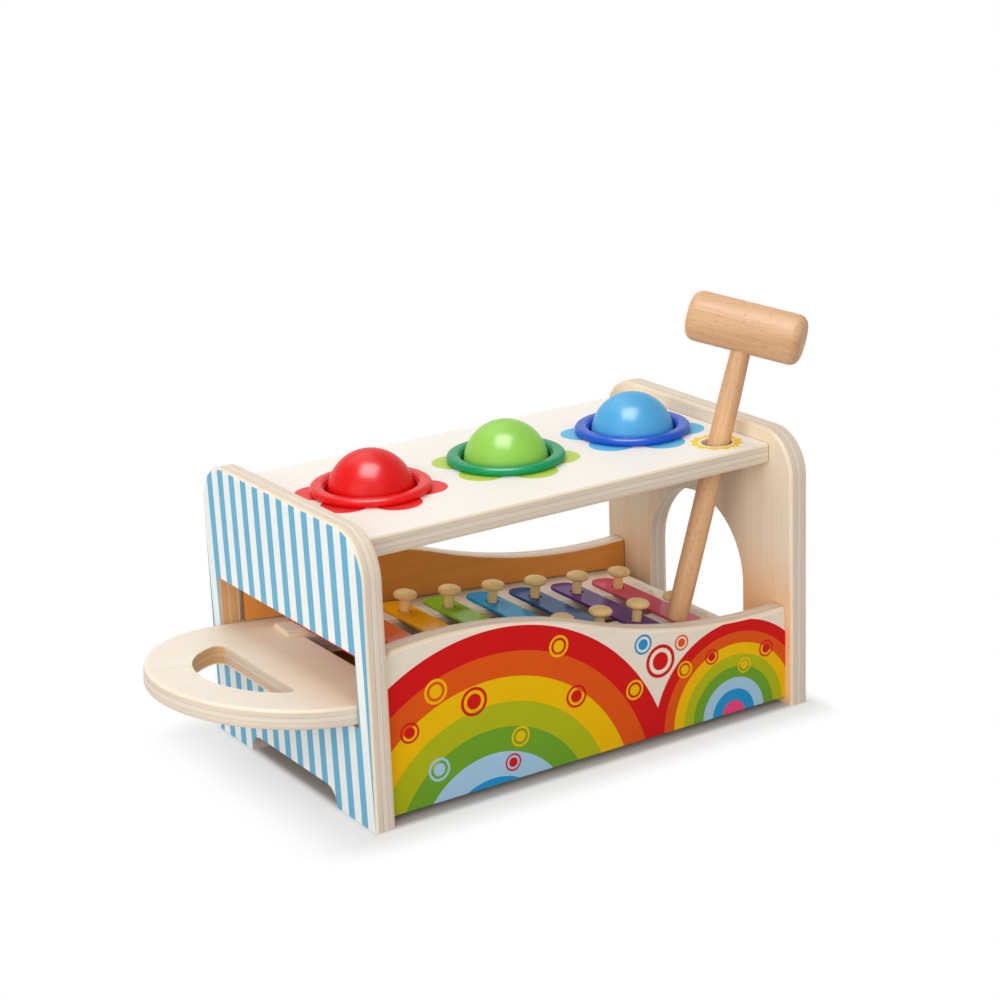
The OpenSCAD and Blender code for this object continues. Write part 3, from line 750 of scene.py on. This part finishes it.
# cells in millimetres, spread of the shade, height in millimetres
BALL_CLOUD, BALL_PEEL, BALL_SPREAD, PEEL_DEPTH = 16, 2.4, 0.12, 0.03
RING_CLOUD, RING_GRAIN, RING_SPREAD, RING_DEPTH = 12, 0.5, 0.14, 0.02
RING_ROUGHNESS, RING_ROUGH_SPREAD = 0.28, 0.12
BAR_FLAKE, BAR_CLOUD, BAR_RIPPLE = 0.25, 20, (6, 9, 6)
FLAKE_SPREAD, BAR_SPREAD, RIPPLE_DEPTH = 0.14, 0.1, 0.02


def lacquer(name, colour, seed):
    """Glossy paint on a turned ball."""
    g = Graph(name, roughness=0.40, specular=0.05, coat=0.30, coat_roughness=0.26)
    cloud = g.cloud(BALL_CLOUD, (seed, 0, 0), detail=3.0, roughness=0.6)
    peel = g.cloud(BALL_PEEL, (0, 0, seed))
    return g.finish(g.varied(colour, (cloud, BALL_SPREAD)), peel, PEEL_DEPTH)


def rubber(name, colour, seed):
    """Soft moulded plastic of a ring."""
    g = Graph(name, RING_ROUGHNESS, specular=0.20)
    cloud = g.cloud(RING_CLOUD, (seed, 0, 0), detail=3.0, roughness=0.6)
    grain = g.cloud(RING_GRAIN, (0, 0, seed), detail=2.0, roughness=0.6)
    roughness = (cloud - 0.5) * RING_ROUGH_SPREAD + RING_ROUGHNESS
    return g.finish(g.varied(colour, (cloud, RING_SPREAD)), grain, RING_DEPTH, roughness)


def enamel(name, colour, seed):
    """Painted metal of a bar: a clear gloss over fine flakes."""
    g = Graph(name, roughness=0.10, specular=0.05)
    flake = g.cloud(BAR_FLAKE, detail=2.0, roughness=0.6)
    cloud = g.cloud(BAR_CLOUD, (seed, 0, 0))
    ripple = g.figure((g.x, g.y, g.z), BAR_RIPPLE, (seed, 0, 0))
    colour = g.varied(colour, (flake, FLAKE_SPREAD), (cloud, BAR_SPREAD))
    return g.finish(colour, ripple, RIPPLE_DEPTH)


BALLS = {
    "red": linear(226, 3, 6),
    "green": linear(150, 212, 84),
    "blue": linear(80, 172, 228),
}
RINGS = {
    "red": linear(232, 20, 22),
    "green": linear(2, 150, 92),
    "blue": linear(28, 88, 204),
}
BARS = {
    "red_bar": linear(222, 36, 30),
    "orange_bar": linear(240, 116, 66),
    "yellow_bar": linear(250, 176, 20),
    "green_bar": linear(146, 198, 50),
    "light_blue_bar": linear(32, 162, 220),
    "dark_blue_bar": linear(42, 88, 146),
    "purple_bar": linear(106, 58, 140),
    "pink_bar": linear(218, 82, 110),
}
# steps between the seeds of alike pieces
BALL_SEED, RING_SEED, BAR_SEED = 3.1, 2.3, 1.9

for number, name in enumerate(BALLS):
    dress(name + "_ball", lacquer(name + "_lacquer", BALLS[name], number * BALL_SEED))
    dress(name + "_ring", rubber(name + "_plastic", RINGS[name], number * RING_SEED))
for number, (name, colour) in enumerate(BARS.items()):
    dress(name, enamel(name + "_enamel", colour, number * BAR_SEED))

# Soft edges of the kept nodes, in millimetres

PANEL_EASE, BAR_EASE, RAIL_EASE = 0.7, 0.45, 0.4
EASE_STEPS = 2


def ease(node, width):
    """Takes the sharpness off a kept CAD node's edges, without changing its mesh."""
    piece = nodes[node]
    piece.modifiers.new("weld", "WELD").merge_threshold = WELD
    flat = piece.modifiers.new("flat", "DECIMATE")
    flat.decimate_type = "DISSOLVE"
    flat.angle_limit = FLAT
    bevel = piece.modifiers.new("ease", "BEVEL")
    bevel.width = width * MM
    bevel.segments = EASE_STEPS
    bevel.limit_method = "ANGLE"
    bevel.angle_limit = SHARP
    piece.modifiers.new("even_normals", "WEIGHTED_NORMAL").keep_sharp = True


for node in BARS:
    ease(node, BAR_EASE)
for node in ("left_end_panel", "right_end_panel", "top_board", "tray"):
    ease(node, PANEL_EASE)
for node in ("back_rail", "front_rail"):
    ease(node, RAIL_EASE)

# Floor

# rays that find the surroundings white: what the camera sees, mirrored and through glass too
SEEN_RAYS = ("Is Camera Ray", "Is Glossy Ray", "Is Transmission Ray")
# how far outside the toy's footprint the floor turns fully white to the camera, in millimetres
WHITE_LEFT, WHITE_RIGHT, WHITE_SIDE = 48, 12, 30
# share of white that it has right outside the footprint, over these millimetres
WHITE_SHARE = 0.62
WHITE_FROM, WHITE_TO = -4, 3
# shade of the floor to the object's light, and to the camera where it isn't white
FLOOR_PLAIN, FLOOR_SHOWN = 0.40, 0.50
# half its side, in metres
FLOOR_HALF = 4.0


def floor_material():
    """White floor that keeps the shadow: plain for the object, white to the camera."""
    g = Graph("floor_white", roughness=1.0, specular=0.0)
    path = g.tree.nodes.new("ShaderNodeLightPath").outputs
    seen = g.largest(*(Wire(g, path[ray]) for ray in SEEN_RAYS))
    past_left, past_right = left_low.x - g.x, g.x - right_high.x
    past_side = g.y.absolute() - left_high.y
    past = g.largest(past_left, past_right, past_side)
    reach_x = g.largest(past_left / WHITE_LEFT, past_right / WHITE_RIGHT, 0.0)
    reach_y = g.largest(past_side / WHITE_SIDE, 0.0)
    near_white = g.smooth(past, WHITE_FROM, WHITE_TO) * WHITE_SHARE
    far_white = g.smooth(g.length(reach_x, reach_y), 0.0, 1.0) * (1 - WHITE_SHARE)
    white = near_white + far_white
    shown = (1.0 - white) * FLOOR_SHOWN
    g.shader.inputs["Emission Color"].default_value = WHITE
    g.put(seen * white, g.shader.inputs["Emission Strength"])
    g.material.cycles.emission_sampling = "NONE"
    return g.finish(g.grey(seen * (shown - FLOOR_PLAIN) + FLOOR_PLAIN))


corners = [(-FLOOR_HALF, -FLOOR_HALF, 0), (FLOOR_HALF, -FLOOR_HALF, 0),
           (FLOOR_HALF, FLOOR_HALF, 0), (-FLOOR_HALF, FLOOR_HALF, 0)]
floor_mesh = bpy.data.meshes.new("floor")
floor_mesh.from_pydata(corners, [], [(0, 1, 2, 3)])
floor_mesh.materials.append(floor_material())
floor = bpy.data.objects.new("floor", floor_mesh)
bpy.context.scene.collection.objects.link(floor)

# Light

WORLD_LIGHT = 0.60
WORLD_WARM = (1.0, 0.95, 0.89, 1)
# the lamps look at this point of the toy
AIM = Vector((0.02, 0, 0.08))


def world_light():
    """White surroundings, plain on the object and full white where they are seen or mirrored."""
    world = bpy.data.worlds.new("studio")
    bpy.context.scene.world = world
    world.use_nodes = True
    tree = world.node_tree
    background = tree.nodes["Background"]
    path = tree.nodes.new("ShaderNodeLightPath").outputs
    seen = path[SEEN_RAYS[0]]
    for ray in SEEN_RAYS[1:]:
        either = tree.nodes.new("ShaderNodeMath")
        either.operation = "MAXIMUM"
        tree.links.new(seen, either.inputs[0])
        tree.links.new(path[ray], either.inputs[1])
        seen = either.outputs[0]
    strength = tree.nodes.new("ShaderNodeMapRange")
    strength.inputs["To Min"].default_value = WORLD_LIGHT
    strength.inputs["To Max"].default_value = 1.0
    tree.links.new(seen, strength.inputs["Value"])
    tree.links.new(strength.outputs[0], background.inputs["Strength"])
    tint = tree.nodes.new("ShaderNodeMix")
    tint.data_type = "RGBA"
    tint.inputs[MIX_FIRST].default_value = WORLD_WARM
    tint.inputs[MIX_SECOND].default_value = WHITE
    tree.links.new(seen, tint.inputs[0])
    tree.links.new(tint.outputs[MIX_RESULT], background.inputs["Color"])


def softbox(name, towards, distance, size, level):
    """A square soft lamp that looks at the toy; level is its share of full white head on."""
    lamp = bpy.data.lights.new(name, "AREA")
    lamp.shape = "SQUARE"
    lamp.size = size
    lamp.energy = math.pi ** 2 * distance ** 2 * level
    thing = bpy.data.objects.new(name, lamp)
    direction = Vector(towards).normalized()
    thing.location = AIM + direction * distance
    thing.rotation_euler = direction.to_track_quat("Z", "Y").to_euler()
    bpy.context.scene.collection.objects.link(thing)
    return thing


world_light()
softbox("key", towards=(0.0, 0.52, 0.85), distance=1.30, size=0.90, level=0.30)
softbox("side", towards=(-0.88, -0.38, 0.28), distance=1.60, size=1.20, level=0.42)
softbox("fill", towards=(-0.30, -0.82, 0.48), distance=1.80, size=1.30, level=0.17)
# a card that shows only as the gloss of paint and lacquer
gloss = softbox("gloss", towards=(-0.22, -0.22, 1.0), distance=1.20, size=0.76, level=3.40)
gloss.visible_diffuse = False

# Camera, at the photograph's viewing angle

AZIMUTH, ELEVATION, ROLL = (math.radians(a) for a in (-32.47, 17.81, -2.24))
CAMERA_PLACE = Vector((-0.638817, -1.0438, 0.5219))
SENSOR = 36.0
FOCAL_PIXELS = 2439.6
IMAGE_PIXELS = 1000
CLIP_START = 0.05

right = Vector((math.cos(AZIMUTH), math.sin(AZIMUTH), 0))
back = Vector((math.sin(AZIMUTH) * math.cos(ELEVATION),
               -math.cos(AZIMUTH) * math.cos(ELEVATION), math.sin(ELEVATION)))
up = back.cross(right)
turned_right = right * math.cos(ROLL) + up * math.sin(ROLL)
turned_up = up * math.cos(ROLL) - right * math.sin(ROLL)
turn = Matrix((turned_right, turned_up, back)).transposed().to_4x4()
lens = bpy.data.cameras.new("camera")
lens.sensor_width = SENSOR
lens.lens = SENSOR * FOCAL_PIXELS / IMAGE_PIXELS
lens.clip_start = CLIP_START
camera = bpy.data.objects.new("camera", lens)
camera.matrix_world = Matrix.Translation(CAMERA_PLACE) @ turn
bpy.context.scene.collection.objects.link(camera)
bpy.context.scene.camera = camera
bpy.context.scene.view_settings.view_transform = "Standard"
